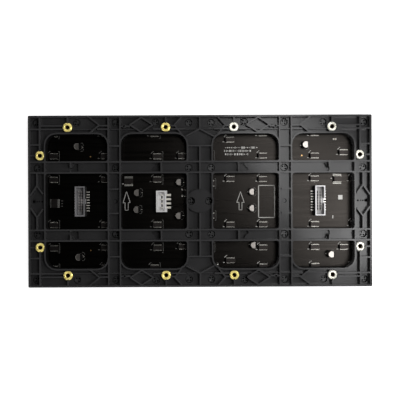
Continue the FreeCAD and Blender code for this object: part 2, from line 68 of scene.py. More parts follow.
class Shape:
    """Collects faces in millimetres and turns them into one piece."""

    def __init__(self):
        self.points, self.faces, self.marks = [], [], []

    def add(self, points, faces, mark=0):
        """Adds faces over points of their own. The mark picks one of the piece's materials."""
        start = len(self.points)
        self.points += [tuple(p) for p in points]
        self.faces += [tuple(start + i for i in face) for face in faces]
        self.marks += [mark] * len(faces)

    def loft(self, rings, mark=0, low_cap=True, high_cap=True):
        """Skins a row of rings of equal counts, from the lowest up."""
        n = len(rings[0])
        points = [p for ring in rings for p in ring]
        faces = []
        for level in range(len(rings) - 1):
            a, b = level * n, (level + 1) * n
            faces += [(a + k, a + (k + 1) % n, b + (k + 1) % n, b + k) for k in range(n)]
        if low_cap:
            faces.append(tuple(reversed(range(n))))
        if high_cap:
            faces.append(tuple(range(len(points) - n, len(points))))
        self.add(points, faces, mark)

    def spin(self, x, y, profile, sides, mark=0, low_cap=True, high_cap=True):
        """A round form about an upright axis, from pairs of a height and a radius."""
        rings = [circle(x, y, z, radius, sides) for z, radius in profile]
        self.loft(rings, mark, low_cap, high_cap)

    def box(self, x0, y0, z0, x1, y1, z1, mark=0, bevel=0.0):
        """A block, with bevelled upper edges where a bevel is given."""
        rings = [rectangle(x0, y0, x1, y1, z0)]
        if bevel:
            rings.append(rectangle(x0, y0, x1, y1, z1 - bevel))
            rings.append(rectangle(x0 + bevel, y0 + bevel, x1 - bevel, y1 - bevel, z1))
        else:
            rings.append(rectangle(x0, y0, x1, y1, z1))
        self.loft(rings, mark)

    def bar(self, x0, y0, x1, y1, wide, low, high, low_cap=True):
        """A straight bar with square ends, between two levels."""
        length = math.hypot(x1 - x0, y1 - y0)
        nx, ny = -(y1 - y0) / length * wide / 2, (x1 - x0) / length * wide / 2
        outline = [(x0 + nx, y0 + ny), (x0 - nx, y0 - ny), (x1 - nx, y1 - ny), (x1 + nx, y1 + ny)]
        self.loft([[(x, y, z) for x, y in outline] for z in (low, high)], 0, low_cap)

    def piece(self, name, materials, slot, smooth=False, replaces=()):
        """Makes the object, which rides on the module's one body."""
        mesh = bpy.data.meshes.new(name)
        mesh.from_pydata([(x * MM, y * MM, z * MM) for x, y, z in self.points], [], self.faces)
        for material in materials:
            mesh.materials.append(material)
        mesh.polygons.foreach_set("material_index", self.marks)
        mesh.polygons.foreach_set("use_smooth", [smooth] * len(self.faces))
        mesh.update()
        if smooth:
            mesh.set_sharp_from_angle(angle=math.radians(20))
        piece = bpy.data.objects.new(name, mesh)
        bpy.context.scene.collection.objects.link(piece)
        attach(piece, "root")
        if replaces:
            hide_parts(*replaces)


def rectangle(x0, y0, x1, y1, z):
    return [(x0, y0, z), (x1, y0, z), (x1, y1, z), (x0, y1, z)]


def square(x, y, half, z):
    return rectangle(x - half, y - half, x + half, y + half, z)


def circle(x, y, z, radius, sides):
    """A ring of points, half a step round, so that flat sides face along X."""
    step = 2 * math.pi / sides
    return [(x + radius * math.cos((k + 0.5) * step), y + radius * math.sin((k + 0.5) * step), z)
            for k in range(sides)]


def nodes_named(*starts):
    """The CAD nodes with names that start so, in order."""
    return sorted(name for name in NODES if name.startswith(starts))


def middle(low, high):
    """The middle, in plan, of a box."""
    return (low.x + high.x) / 2, (low.y + high.y) / 2


def solids(node):
    """Lowest and highest corners, in millimetres, of each separate solid of a node."""
    mesh = NODES[node].data
    keys, parent = {}, []

    def root(i):
        while parent[i] != i:
            parent[i] = parent[parent[i]]
            i = parent[i]
        return i

    index = []
    for vertex in mesh.vertices:
        key = tuple(round(c * 1e6) for c in vertex.co)
        if key not in keys:
            keys[key] = len(parent)
            parent.append(len(parent))
        index.append(keys[key])
    for face in mesh.polygons:
        first = root(index[face.vertices[0]])
        for v in face.vertices[1:]:
            parent[root(index[v])] = first
    groups = {}
    for vertex, i in zip(mesh.vertices, index):
        groups.setdefault(root(i), []).append(vertex.co / MM)
    found = []
    for corners in groups.values():
        spans = list(zip(*corners))
        found.append((Vector([min(span) for span in spans]), Vector([max(span) for span in spans])))
    return sorted(found, key=lambda box: (round(box[0].x, 2), round(box[0].y, 2)))


# Materials

# Between which levels most of a noise's values lie, and the depths of the fine grain in metres
NOISE_LOW, NOISE_HIGH = 0.3, 0.7
THIN, SLIGHT, SOFT, DEEP = 0.00001, 0.00002, 0.00003, 0.00004


def new_material(name):
    material = bpy.data.materials.new(name)
    material.use_nodes = True
    tree = material.node_tree
    return material, tree, tree.nodes["Principled BSDF"]


def new_node(tree, kind, values=()):
    """A node of a kind, with the constants of some of its sockets."""
    node = tree.nodes.new(kind)
    for socket, value in values:
        node.inputs[socket].default_value = value
    return node


def noise(tree, scale, detail=3.0, rough=0.55, distortion=0.0):
    node = new_node(tree, "ShaderNodeTexNoise", (("Scale", scale), ("Detail", detail),
                                                 ("Roughness", rough), ("Distortion", distortion)))
    coordinates = tree.nodes.new("ShaderNodeTexCoord")
    tree.links.new(coordinates.outputs["Object"], node.inputs["Vector"])
    return node


def ramp(tree, source, stops):
    """A colour for each level of the source, from pairs of a level and a colour."""
    node = tree.nodes.new("ShaderNodeValToRGB")
    element = node.color_ramp.elements
    element[0].position, element[0].color = stops[0][0], (*stops[0][1], 1)
    element[1].position, element[1].color = stops[-1][0], (*stops[-1][1], 1)
    for position, colour in stops[1:-1]:
        extra = element.new(position)
        extra.color = (*colour, 1)
    tree.links.new(source, node.inputs["Fac"])
    return node.outputs["Color"]


def spread(tree, source, low, high):
    """A noise's values, spread between two levels."""
    node = new_node(tree, "ShaderNodeMapRange", (("From Min", NOISE_LOW), ("From Max", NOISE_HIGH),
                                                 ("To Min", low), ("To Max", high)))
    tree.links.new(source.outputs["Fac"], node.inputs["Value"])
    return node.outputs["Result"]


def bump(tree, shader, source, strength, distance, below=None):
    node = new_node(tree, "ShaderNodeBump", (("Strength", strength), ("Distance", distance)))
    tree.links.new(source.outputs["Fac"], node.inputs["Height"])
    if below:
        tree.links.new(below.outputs["Normal"], node.inputs["Normal"])
    tree.links.new(node.outputs["Normal"], shader.inputs["Normal"])
    return node


def surface(name, dark, light, patch, rough, grain, relief, depth=DEEP, metallic=0.0, specular=0.5,
            tint=None):
    """A material with patchy colour, uneven gloss and a fine grain.

    Patch and grain are the scales of their noises, rough the ends of the roughness, relief
    and depth the strength and the distance of the grain's bump.
    """
    material, tree, shader = new_material(name)
    shader.inputs["Metallic"].default_value = metallic
    shader.inputs["Specular IOR Level"].default_value = specular
    if tint:
        shader.inputs["Specular Tint"].default_value = (*tint, 1)
    patches = noise(tree, patch, 4.0)
    colour = ramp(tree, patches.outputs["Fac"], [(NOISE_LOW, dark), (NOISE_HIGH, light)])
    tree.links.new(colour, shader.inputs["Base Color"])
    gloss = noise(tree, patch * 3.1, 3.0)
    tree.links.new(spread(tree, gloss, *rough), shader.inputs["Roughness"])
    bump(tree, shader, noise(tree, grain, 2.0), relief, depth)
    return material


def board_material():
    """Black solder resist, with the faint long ridges of the copper under it."""
    material, tree, shader = new_material("solder_resist")
    shader.inputs["Specular IOR Level"].default_value = 0.215
    shader.inputs["Specular Tint"].default_value = (1.0, 0.90, 0.82, 1)
    bricks = new_node(tree, "ShaderNodeTexBrick", (
        ("Scale", 100.0), ("Mortar Size", 0.03), ("Mortar Smooth", 0.6), ("Bias", 0.0),
        ("Brick Width", 2.4), ("Row Height", 0.115),
        ("Color1", (0.0002, 0.0002, 0.0002, 1)), ("Color2", (0.0004, 0.0004, 0.0003, 1)),
        ("Mortar", (0.0009, 0.0008, 0.0006, 1))))
    coordinates = tree.nodes.new("ShaderNodeTexCoord")
    tree.links.new(coordinates.outputs["Object"], bricks.inputs["Vector"])
    tree.links.new(bricks.outputs["Color"], shader.inputs["Base Color"])
    streaks = noise(tree, 1.0, 5.0, 0.6, 0.4)
    stretch = new_node(tree, "ShaderNodeMapping", (("Scale", (14.0, 420.0, 1.0)),))
    tree.links.new(coordinates.outputs["Object"], stretch.inputs["Vector"])
    tree.links.new(stretch.outputs["Vector"], streaks.inputs["Vector"])
    tree.links.new(spread(tree, streaks, 0.250, 0.365), shader.inputs["Roughness"])
    weave = bump(tree, shader, noise(tree, 1400.0, 2.0), 0.12, SOFT)
    bump(tree, shader, bricks, 0.35, DEEP, weave)
    return material


def lens_material():
    """Clear resin of the lamps over their dies, milky when unlit."""
    material = surface("lamp_resin", (0.42, 0.41, 0.36), (0.55, 0.54, 0.48), 900.0, (0.25, 0.4),
                       5000.0, 0.1)
    shader = material.node_tree.nodes["Principled BSDF"]
    shader.inputs["Coat Weight"].default_value = 0.3
    return material


FRAME_PLASTIC = surface("charcoal_moulding", (0.0425, 0.0419, 0.0429), (0.0470, 0.0463, 0.0474),
                        40.0, (0.145, 0.18), 2600.0, 0.1, THIN, specular=0.205)
# Painted light and shade of the frame: the hub's top darker, the walls and floors of its wells
# paler, the windows' unlit walls near black
HUB_PAINTED_SHADE = surface("charcoal_hub_painted_shade", (0.0310, 0.0305, 0.0313), (0.0345, 0.0340, 0.0348),
                      40.0, (0.16, 0.20), 2600.0, 0.1, THIN, specular=0.14)
WELL_PAINTED_LIGHT = surface("charcoal_well_painted_light", (0.10, 0.0985, 0.101), (0.12, 0.118, 0.121),
                       40.0, (0.3, 0.4), 2600.0, 0.1, THIN, specular=0.2)
WINDOW_WALL_PAINTED_SHADE = surface("window_wall_painted_shade", (0.004, 0.004, 0.004), (0.007, 0.007, 0.007),
                      60.0, (0.5, 0.6), 2600.0, 0.12, THIN, specular=0.05)
MASK_PLASTIC = surface("matte_black_mask", (0.006, 0.006, 0.0065), (0.011, 0.011, 0.0115),
                       120.0, (0.62, 0.75), 3000.0, 0.3, specular=0.3)
RESIST = board_material()
LENS = lens_material()
BRASS = surface("turned_brass", (0.98, 0.78, 0.22), (1.0, 0.88, 0.32),
                500.0, (0.26, 0.34), 3500.0, 0.1, THIN, metallic=1.0)
# A paler brass of painted glare, and a near-black brass of painted shade for the bores
BRASS_PAINTED_GLARE = surface("brass_painted_glare", (1.0, 0.97, 0.82), (1.0, 0.99, 0.90),
                     500.0, (0.24, 0.32), 3500.0, 0.1, THIN, metallic=1.0)
BRASS_PAINTED_SHADE = surface("brass_painted_shade", (0.022, 0.012, 0.006), (0.035, 0.020, 0.010),
                     500.0, (0.5, 0.6), 3500.0, 0.15, SLIGHT, specular=0.1)
BLACK_SCREW = surface("black_zinc", (0.052, 0.052, 0.053), (0.068, 0.068, 0.069),
                      700.0, (0.25, 0.32), 3000.0, 0.2, THIN, specular=0.4)
# Black as painted shadow: in the small holes, the ends of the screws' recesses, the inserts' bores
# and beside the chips
PAINTED_SHADOW = surface("painted_shadow_black", (0.003, 0.003, 0.003), (0.005, 0.005, 0.005),
              500.0, (0.6, 0.7), 3000.0, 0.1, specular=0.0)
TIN = surface("tinned_metal", (0.62, 0.60, 0.55), (0.80, 0.78, 0.72),
              900.0, (0.38, 0.5), 3500.0, 0.2, SLIGHT, metallic=1.0)
# A darker tin as painted shade
TIN_PAINTED_SHADE = surface("tin_painted_shade", (0.16, 0.155, 0.145), (0.24, 0.233, 0.22),
                   900.0, (0.5, 0.6), 3500.0, 0.2, SLIGHT, metallic=0.6)
PLATED_PIN = surface("plated_pin", (0.80, 0.77, 0.68), (0.88, 0.85, 0.77),
                     900.0, (0.38, 0.5), 3500.0, 0.2, SLIGHT, metallic=0.1)
# A paler pin metal of painted glare for the right header, and a darker one of painted shade for the
# left
PIN_PAINTED_GLARE = surface("pin_painted_glare", (0.90, 0.88, 0.80), (0.98, 0.96, 0.90),
                     900.0, (0.30, 0.40), 3500.0, 0.2, SLIGHT, metallic=1.0)
PIN_PAINTED_SHADE = surface("pin_painted_shade", (0.44, 0.39, 0.37), (0.55, 0.50, 0.47),
                  900.0, (0.38, 0.5), 3500.0, 0.2, SLIGHT, metallic=0.1)
SOLDER = surface("solder", (0.60, 0.59, 0.56), (0.76, 0.75, 0.71),
                 1200.0, (0.4, 0.52), 2500.0, 0.3, SOFT, metallic=0.85)
GOLD_PAD = surface("gilt_pad", (0.62, 0.36, 0.14), (0.78, 0.50, 0.22),
                   700.0, (0.35, 0.45), 3000.0, 0.1, THIN, metallic=0.9)
GREY_NYLON = surface("grey_nylon", (0.23, 0.226, 0.232), (0.29, 0.285, 0.293),
                     200.0, (0.42, 0.52), 2800.0, 0.2)
WHITE_NYLON = surface("white_nylon", (0.58, 0.57, 0.565), (0.67, 0.66, 0.655),
                      200.0, (0.36, 0.46), 2800.0, 0.2)
# Nylons of painted light and painted shade for the headers' rims, floors and the sides the tails
# leave by
RIM_NYLON_PAINTED_SHADE = surface("rim_nylon_painted_shade", (0.17, 0.166, 0.171), (0.215, 0.21, 0.217),
                    200.0, (0.42, 0.52), 2800.0, 0.2)
NYLON_MID_PAINTED_LIGHT = surface("inner_nylon_mid_painted_light", (0.54, 0.53, 0.54), (0.62, 0.61, 0.62),
                    900.0, (0.42, 0.52), 2800.0, 0.2)
NYLON_PALE_PAINTED_LIGHT = surface("nylon_pale_painted_light", (0.80, 0.79, 0.80), (0.90, 0.89, 0.90),
                    900.0, (0.42, 0.52), 2800.0, 0.2)
SIDE_NYLON_PAINTED_SHADE = surface("side_nylon_painted_shade", (0.018, 0.018, 0.018), (0.028, 0.028, 0.028),
                       200.0, (0.5, 0.6), 2800.0, 0.2, specular=0.2)
CAN = surface("drawn_aluminium", (0.33, 0.308, 0.288), (0.42, 0.392, 0.366),
              900.0, (0.33, 0.39), 3500.0, 0.2, SLIGHT, metallic=1.0)
SLEEVE = surface("black_print", (0.003, 0.003, 0.003), (0.006, 0.006, 0.006),
                 600.0, (0.4, 0.5), 3000.0, 0.2, specular=0.03)
CERAMIC = surface("fired_ceramic", (0.34, 0.29, 0.22), (0.46, 0.40, 0.31),
                  700.0, (0.5, 0.6), 3000.0, 0.3)
EPOXY = surface("chip_epoxy", (0.008, 0.007, 0.007), (0.014, 0.0125, 0.012),
                400.0, (0.36, 0.46), 3500.0, 0.3, SLIGHT, specular=0.3, tint=(1.0, 0.88, 0.82))
INK = surface("silkscreen_ink", (0.52, 0.51, 0.48), (0.68, 0.67, 0.64),
              900.0, (0.55, 0.7), 4000.0, 0.2, THIN, specular=0.3)
# Faint print, also painted shade on the left chips' marks and a painted highlight at their right
# ends
FAINT_INK_SHADE_AND_HIGHLIGHT = surface("faint_ink_painted_shade_and_highlight", (0.13, 0.127, 0.12), (0.22, 0.216, 0.205),
                    900.0, (0.55, 0.7), 4000.0, 0.2, THIN, specular=0.2)
LABEL = surface("paper_label", (0.74, 0.73, 0.70), (0.84, 0.83, 0.80),
                300.0, (0.5, 0.65), 3000.0, 0.2, THIN, specular=0.3)


# Materials of the CAD nodes

# Upward parts of a normal: of a level face at least, and of a wall at most
LEVEL, WALL = 0.9, 0.5

# From a data header's middle to where its pins' tails start
TAIL_START = 4.4


def dress(node, materials, choose=None):
    """Gives a CAD node its materials. For each face, choose says which of them it has."""
    mesh = NODES[node].data
    mesh.materials.clear()
    for material in materials:
        mesh.materials.append(material)
    marks = [choose(face) if choose else 0 for face in mesh.polygons]
    mesh.polygons.foreach_set("material_index", marks)


def dress_header(node, outer, inner, tail_side, rim):
    """A header's housing. Its floor and its rim differ, with paler nylons as painted light and a
    darker one as painted shade, and the low side its tails leave by is near black as painted shade.
    """
    low, high = (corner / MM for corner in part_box(node))
    edge = high.x if tail_side > 0 else low.x

    def choose(face):
        centre = face.center / MM
        if face.normal.z > LEVEL and centre.z < high.z - 1.5:
            return 1
        if face.normal.x * tail_side > LEVEL and abs(centre.x - edge) < 0.3:
            return 2
        return 3 if face.normal.z > LEVEL and centre.z > high.z - 0.5 else 0

    dress(node, [outer, inner, SIDE_NYLON_PAINTED_SHADE, rim], choose)


def dress_pins(node, upright, tail, header_x):
    """A header's pins: the parts within its housing and the tails beside it."""
    def choose(face):
        return 1 if abs(face.center.x / MM - header_x) > TAIL_START else 0

    dress(node, [upright, tail], choose)


def within(value, spans):
    return any(low < value < high for low, high in spans)


def frame_face(face):
    """Which plastic a face of the frame has: the windows' unlit walls get a near-black painted
    shade, the hub's top a darker painted shade and its wells a paler painted light.
    """
    normal, centre = face.normal, face.center / MM
    x, y = abs(centre.x + normal.x), abs(centre.y + normal.y)
    if (abs(normal.z) < WALL and within(x, WINDOW_COLUMNS) and within(y, WINDOW_ROWS)
            and centre.z < RIM_LEVEL and normal.x > -0.3):
        return 1
    if (normal.z > LEVEL and abs(centre.z - HUB_TOP) < 0.2
            and abs(centre.x) < HUB_HALF_X and abs(centre.y) < HUB_HALF_Y):
        return 2
    well = within(abs(centre.x), [HUB_WELL_X]) and abs(centre.y) < HUB_WELL_Y
    return 3 if well and centre.z < HUB_TOP - 0.4 else 0


dress("frame", [FRAME_PLASTIC, WINDOW_WALL_PAINTED_SHADE, HUB_PAINTED_SHADE, WELL_PAINTED_LIGHT], frame_face)
dress("lamp_board", [RESIST])
dress("front_mask", [MASK_PLASTIC])
dress("board_nuts", [TIN])
dress("power_pins", [PLATED_PIN])
# The left header's pins in the housing get painted shade, all the right header's pins painted glare
dress_pins("data_pins_left", PIN_PAINTED_SHADE, PLATED_PIN, -HEADER_X)
dress_pins("data_pins_right", PIN_PAINTED_GLARE, PIN_PAINTED_GLARE, HEADER_X)
# Painted shade on the left header's rim, painted light on the right header's floor and rim and on
# the power header's floor
dress_header("data_housing_left", GREY_NYLON, GREY_NYLON, 1, RIM_NYLON_PAINTED_SHADE)
dress_header("data_housing_right", GREY_NYLON, NYLON_MID_PAINTED_LIGHT, -1, NYLON_PALE_PAINTED_LIGHT)
dress_header("power_housing", WHITE_NYLON, NYLON_PALE_PAINTED_LIGHT, 0, WHITE_NYLON)


# Lamp face

LAMP_HALF, LENS_HALF = 0.98, 0.72
LAMP_FACE, LENS_FLOOR, LAMP_BACK = 0.12, 0.24, 0.8
BAR_HALF, BAR_FACE, BAR_BACK, BAR_INSET = 0.16, 0.08, 0.9, 0.2


def lamp_places():
    for column in range(COLUMNS):
        for row in range(ROWS):
            yield (-LENGTH / 2 + (column + 0.5) * LAMP_PITCH,
                   -WIDTH / 2 + (row + 0.5) * LAMP_PITCH)


def lamps():
    """The lamps' black bodies in the mask's rows, each with a sunk square of resin."""
    bodies, lenses = Shape(), Shape()
    for x, y in lamp_places():
        rings = [square(x, y, LAMP_HALF, LAMP_BACK), square(x, y, LAMP_HALF, LAMP_FACE),
                 square(x, y, LENS_HALF, LAMP_FACE), square(x, y, LENS_HALF, LENS_FLOOR)]
        bodies.loft([ring[::-1] for ring in rings], 0, False, False)
        lenses.add(square(x, y, LENS_HALF, LENS_FLOOR - 0.02)[::-1], [(0, 1, 2, 3)])
    bodies.piece("lamp_bodies", [MASK_PLASTIC], "mask_plastic")
    lenses.piece("lamp_lenses", [LENS], "ceramic_body")


def mask_bars():
    """Upright bars of the mask between the lamp columns."""
    bars = Shape()
    reach = WIDTH / 2 - BAR_INSET
    for column in range(1, COLUMNS):
        x = -LENGTH / 2 + column * LAMP_PITCH
        bars.box(x - BAR_HALF, -reach, BAR_FACE, x + BAR_HALF, reach, BAR_BACK)
    bars.piece("mask_bars", [MASK_PLASTIC], "mask_plastic")


# Chips

LEAD_COUNT, LEAD_PITCH, LEAD_WIDE = 12, 0.635, 0.25
LEAD_REACH, LIT_LEAD_REACH = 0.95, 0.72
BUFFER_COUNT, BUFFER_PITCH, BUFFER_WIDE, BUFFER_REACH = 10, 0.8, 0.34, 1.6
LEAD_THICK, LEAD_TOP, LEAD_FOOT = 0.14, BOARD_TOP + 0.85, BOARD_TOP + 0.05
PAD_LOW, PAD_TOP, PAD_BEVEL = BOARD_TOP + 0.01, BOARD_TOP + 0.07, 0.03
BODY_LOW, BODY_DRAFT = BOARD_TOP + 0.12, 0.14
DIMPLE_INSET, DIMPLE_RADIUS, DIMPLE_SIDES = 0.9, 0.32, 12
BRIGHT_LEAD, PAINTED_SHADE_LEAD = range(2)

# How far the black bars of painted shadow at the ends reach: out from a driver chip, and over a
# buffer chip
DRIVER_SHADOW_BAR, BUFFER_SHADOW_BAR = 1.7, 1.5

# A pad's half width and both its ends, from the side of the body
BUFFER_PAD = (0.27, 0.4, 1.9)


def chip_body(shape, lo, hi, turned=False):
    """A moulded chip body: drafted sides, a parting line and a small round dimple at one end."""
    top = hi.z
    narrow = (lo.x + BODY_DRAFT, lo.y + BODY_DRAFT, hi.x - BODY_DRAFT, hi.y - BODY_DRAFT)
    shape.loft([rectangle(*narrow, BODY_LOW),
                rectangle(lo.x, lo.y, hi.x, hi.y, (BODY_LOW + top) / 2),
                rectangle(*narrow, top)])
    dimple_y = hi.y - DIMPLE_INSET if turned else lo.y + DIMPLE_INSET
    profile = [(top + 0.004, DIMPLE_RADIUS), (top + 0.012, 0.26)]
    shape.spin(lo.x + DIMPLE_INSET, dimple_y, profile, DIMPLE_SIDES, 0, False)


def gull_lead(shape, x, y, side, reach0, reach1, wide, along_x):
    """One bent lead: out of the body, down and along its pad. Side is +1 or -1."""
    knee, foot = reach0 + 0.25, reach1 - 0.42
    line = [(reach0 - 0.1, LEAD_TOP), (knee, LEAD_TOP), (foot, LEAD_FOOT), (reach1, LEAD_FOOT)]
    upper = [(u, z + LEAD_THICK) for u, z in line]
    upper[1] = (knee + 0.08, LEAD_TOP + LEAD_THICK)
    upper[2] = (foot + 0.06, LEAD_FOOT + LEAD_THICK)
    profile = line + upper[::-1]
    points = []
    for offset in (-wide / 2, wide / 2):
        for u, z in profile:
            along, across = (side * u, offset) if along_x else (offset, side * u)
            points.append((x + along, y + across, z))
    n = len(profile)
    faces = [(0, 1, 6, 7), (1, 2, 5, 6), (2, 3, 4, 5)]
    faces += [tuple(n + i for i in reversed(face)) for face in faces]
    faces += [(k, k + n, (k + 1) % n + n, (k + 1) % n) for k in range(n)]
    if (side > 0) == along_x:
        faces = [face[::-1] for face in faces]
    shape.add(points, faces)


def lead_rows(leads, pads, centre, half, row, pad, along_x=False):
    """The leads and pads on a chip's two sides.

    Row gives the leads' count, pitch, width and reach, and pad a pad's half width and both
    its ends, from the body's side.
    """
    x, y = centre
    count, pitch, wide, reach = row
    half_wide, start, end = pad
    for k in range(count):
        offset = (k - (count - 1) / 2) * pitch
        for side in (-1, 1):
            u0, u1 = sorted((side * (half + start), side * (half + end)))
            low, high = (u0, offset - half_wide), (u1, offset + half_wide)
            if along_x:
                gull_lead(leads, x, y + offset, side, half, half + reach, wide, True)
            else:
                gull_lead(leads, x + offset, y, side, half, half + reach, wide, False)
                low, high = low[::-1], high[::-1]
            pads.box(x + low[0], y + low[1], PAD_LOW, x + high[0], y + high[1], PAD_TOP,
                     0, PAD_BEVEL)


def chips():
    """Every chip's body, leads and solder pads, and black bars of painted shadow at the ends of
    some.
    """
    bodies, leads, pads, ends = Shape(), Shape(), Shape(), Shape()
    chip_nodes, buffer_nodes = nodes_named("driver_chips", "row_chips"), nodes_named("buffer")
    for node in chip_nodes:
        for lo, hi in solids(node):
            chip_body(bodies, lo, hi)
            x, y = middle(lo, hi)
            # A black bar of painted shadow out from the chip's left end
            stroke(ends, lo.x - DRIVER_SHADOW_BAR, y, lo.x + 0.02, y, hi.y - lo.y + 0.1)
            reach = LIT_LEAD_REACH if x > LIT_X else LEAD_REACH
            row = (LEAD_COUNT, LEAD_PITCH, LEAD_WIDE, reach)
            lead_rows(leads, pads, (x, y), (hi.y - lo.y) / 2, row,
                      (0.17, reach - 0.4, reach + 0.05))
    for node in buffer_nodes:
        lo, hi = solids(node)[0]
        turned = hi.y - lo.y > hi.x - lo.x
        chip_body(bodies, lo, hi, turned)
        x, y = middle(lo, hi)
        # Painted shadow over the left end of the buffer chips on the right
        if x > BRIGHT_X:
            ends.box(lo.x - 0.05, lo.y + 0.1, BODY_LOW,
                     lo.x + BUFFER_SHADOW_BAR, hi.y - 0.1, hi.z + 0.02)
        first = len(leads.marks)
        half = (hi.x - lo.x if turned else hi.y - lo.y) / 2
        row = (BUFFER_COUNT, BUFFER_PITCH, BUFFER_WIDE, BUFFER_REACH)
        lead_rows(leads, pads, (x, y), half, row, BUFFER_PAD, turned)
        # The far-left buffer chip's leads get a darker tin as painted shade
        mark = PAINTED_SHADE_LEAD if x < -BRIGHT_X else BRIGHT_LEAD
        leads.marks[first:] = [mark] * (len(leads.marks) - first)
    bodies.piece("chip_bodies", [EPOXY], "chip_body", replaces=chip_nodes + buffer_nodes)
    leads.piece("chip_leads", [TIN, TIN_PAINTED_SHADE], "pin_metal")
    pads.piece("chip_pads", [SOLDER], "pin_metal")
    ends.piece("painted_end_shadows", [PAINTED_SHADOW], "chip_body")


# Board print

PRINT_LOW, PRINT_TOP = BOARD_TOP + 0.01, BOARD_TOP + 0.05

# Tip, base, foot, half width and half stem of each outline arrow, after its X
ARROWS = ((-69.9, 9.3, -1.3, -8.5, 3.4, 1.5), (38.5, 8.6, -1.5, -8.6, 3.5, 1.4))
PLAIN_FRAME = [(55.7, 14.5), (70.9, 14.5), (70.9, -16.0), (55.7, -16.0)]

# From a chip's middle: the ends and the width of each mark, and the bracket at its right, a painted
# highlight of the chip's lit right end
CHIP_MARKS = ((-5.8, 2.7, -4.6, 4.0, 0.6), (-4.3, 4.7, -3.4, 4.4, 0.5),
              (-7.2, -2.0, -5.5, -2.0, 0.7))
CHIP_END_HIGHLIGHT = ((4.3, 4.6), (5.3, 4.6), (5.3, -4.6), (4.3, -4.6))

# From a can's middle: one of the two arcs beside it
CAN_ARC = ((1.8, 3.9), (2.9, 3.9), (4.0, 2.8), (4.0, 1.6))

# Ends and widths of the single dashes
BRIGHT_DASHES = ((124.5, 21.0, 125.7, 21.0, 0.9), (-74.0, 16.6, -72.8, 16.6, 0.9),
                 (126.3, -14.2, 126.3, -17.0, 1.1), (140.9, -58.6, 141.7, -58.4, 0.8))
FAINT_DASHES = tuple((-131.9, y, -130.7, y, 0.7) for y in (0.6, -1.9, -4.5))

# Height above the middle, start and end of each row of ticks
TICK_ROWS = ((50.6, 24.2, 55.8), (47.5, 23.2, 49.0), (44.3, 24.0, 46.8))
TICK_TALL = 1.9

ARROW_WIDE, FRAME_WIDE, END_HIGHLIGHT_WIDE, ARC_WIDE = 0.52, 0.75, 0.3, 0.34
LABEL_LEFT, LABEL_FRONT, LABEL_RIGHT, LABEL_REAR = 131.5, 0.9, 135.6, 5.1
LABEL_TOP, LABEL_BEVEL = BOARD_TOP + 0.16, 0.05


def stroke(shape, x0, y0, x1, y1, wide):
    """A printed line on the board."""
    shape.bar(x0, y0, x1, y1, wide, PRINT_LOW, PRINT_TOP)


def polyline(shape, points, wide, closed=False):
    """Printed lines from point to point, with filled corners."""
    ends = points[1:] + points[:1] if closed else points[1:]
    for (x0, y0), (x1, y1) in zip(points, ends):
        length = math.hypot(x1 - x0, y1 - y0)
        ex, ey = (x1 - x0) / length * wide / 2, (y1 - y0) / length * wide / 2
        stroke(shape, x0 - ex, y0 - ey, x1 + ex, y1 + ey, wide)


def up_arrow(shape, x, tip, base, foot, half, stem):
    """An outline arrow that shows which way up the module goes."""
    polyline(shape, [(x, tip), (x - half, base), (x - stem, base), (x - stem, foot),
                     (x + stem, foot), (x + stem, base), (x + half, base)], ARROW_WIDE, True)


def silkscreen():
    """The board's plain printed marks and its blank label. The marks of the chips on the left are
    in the faint ink as painted shade, and the bracket at the right end of chips left of LIT_X is a
    painted highlight.
    """
    ink, faint, ticks, label = Shape(), Shape(), Shape(), Shape()
    for arrow in ARROWS:
        up_arrow(ink, *arrow)
    polyline(ink, PLAIN_FRAME, FRAME_WIDE, True)
    for node in nodes_named("driver_chips", "row_chips"):
        for lo, hi in solids(node):
            x, y = middle(lo, hi)
            for x0, y0, x1, y1, wide in CHIP_MARKS:
                stroke(ink if x > 0 else faint, x + x0, y + y0, x + x1, y + y1, wide)
            # A painted highlight where the chip's right end catches the light
            if x < LIT_X:
                polyline(faint, [(x + dx, y + dy) for dx, dy in CHIP_END_HIGHLIGHT], END_HIGHLIGHT_WIDE)
    for dash in BRIGHT_DASHES:
        stroke(ink, *dash)
    for dash in FAINT_DASHES:
        stroke(faint, *dash)
    for node in nodes_named("capacitor"):
        x, y = middle(*solids(node)[0])
        for flip in (1, -1):
            polyline(faint, [(x + dx, y + flip * dy) for dx, dy in CAN_ARC], ARC_WIDE)
    generic_ticks(ticks)
    label.box(LABEL_LEFT, LABEL_FRONT, PRINT_LOW, LABEL_RIGHT, LABEL_REAR, LABEL_TOP,
              0, LABEL_BEVEL)
    ink.piece("board_print", [INK], "header_white")
    faint.piece("faint_print_shade_and_highlight", [FAINT_INK_SHADE_AND_HIGHLIGHT], "header_white")
    ticks.piece("production_ticks", [LABEL], "header_white")
    label.piece("blank_label", [LABEL], "header_white")


def generic_ticks(ink):
    """Three plain rows of ticks that say nothing."""
    draw = random.Random(7)
    for y, start, end in TICK_ROWS:
        x = start
        while x < end - 1.0:
            wide = draw.choice((0.5, 0.6, 1.2))
            stroke(ink, x, y, x + wide, y, TICK_TALL * draw.choice((0.4, 0.9, 1.0)))
            x += wide + draw.choice((0.65, 0.9, 1.2))


# Small marks of the frame

# X and radius of the dots on the axis, at both ends, then X, Y and radius of the others
AXIS_DOTS = ((148.3, 0.8), (151.0, 0.65), (153.0, 0.65), (156.0, 1.2))
OTHER_DOTS = ((67.6, 70.9, 0.9), (38.8, 76.3, 0.7), (38.7, 73.6, 0.7), (39.0, 71.6, 0.7))

# X of each shallow sink and of its pale floor, which leaves a dark crescent free as a painted
# shadow
SINK_X, SINK_FLOOR_X = (79.4, -79.7), (78.95, -80.05)
SINK_RADIUS, SINK_FLOOR_RADIUS, DOT_SIDES = 2.0, 1.65, 24

